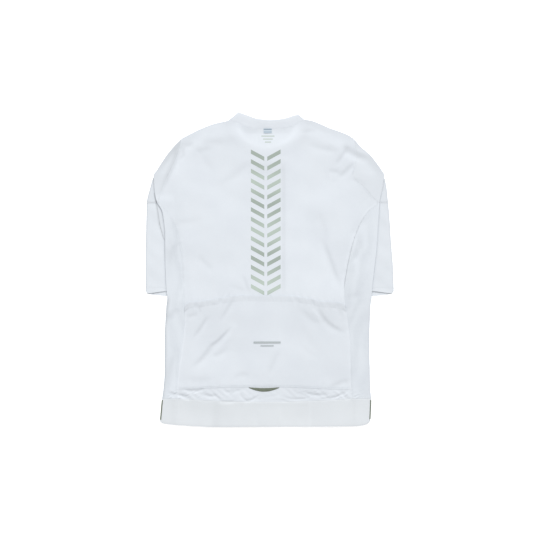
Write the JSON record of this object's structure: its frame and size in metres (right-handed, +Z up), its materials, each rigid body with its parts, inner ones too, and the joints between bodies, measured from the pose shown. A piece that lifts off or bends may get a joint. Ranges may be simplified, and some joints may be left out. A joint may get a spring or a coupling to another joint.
{
  "type": "cycling jersey",
  "caption": "White short-sleeved road cycling jersey with rear pockets, gripper hem and full front zip, laid face down and flat with its sleeves tucked under its sides",
  "frame": {"origin": "on the table under the middle of the laid jersey's bounding box", "axes": "+Z is up from the table and is the thinnest way; +Y runs from the hem to the collar and is the longest way; +X is to the right seen from above with the collar at the top, which is the wearer's right because the jersey lies face down"},
  "size_m": [0.57, 0.722, 0.0113],
  "materials": {
    "body_cloth": "bluish white light polyester knit, slightly sheer, matt",
    "side_cloth": "thin open side mesh, a shade bluer than the back",
    "sleeve_cloth": "smooth stretch knit with a faint sheen",
    "collar_cloth": "doubled white knit",
    "gripper_elastic": "firm ribbed elastic, a warmer grey white",
    "binding_elastic": "white elastic binding, gathered",
    "reflective_tab": "dark grey-green reflective film on cloth",
    "label_cloth": "blue-grey satin label, plain",
    "zip_tape": "white woven zip tape",
    "zip_coil": "white nylon coil",
    "zip_metal": "light grey enamelled zinc"
  },
  "bodies": {
    "jersey": {"back_panel": "body_cloth", "side_panel_left": "side_cloth", "side_panel_right": "side_cloth", "front_left": "body_cloth", "front_right": "body_cloth", "sleeve_upper_left": "sleeve_cloth", "sleeve_upper_right": "sleeve_cloth", "sleeve_band_left": "sleeve_cloth", "sleeve_band_right": "sleeve_cloth", "collar": "collar_cloth", "hem_band": "gripper_elastic", "pocket_panel": "body_cloth", "pocket_binding": "binding_elastic", "crescent_tab": "reflective_tab", "neck_label": "label_cloth", "zip_tape_left": "zip_tape", "zip_tape_right": "zip_tape", "zip_chain": "zip_coil", "zip_slider": "zip_metal"},
    "pull_tab": {"zip_pull": "zip_metal"}
  },
  "joints": [
    {"name": "pull_tab_hinge", "type": "hinge", "parent": "jersey", "child": "pull_tab", "pos_m": [0, 0.2605, 0.00175], "axis": [1, 0, 0], "range_deg": [0, 170]}
  ]
}
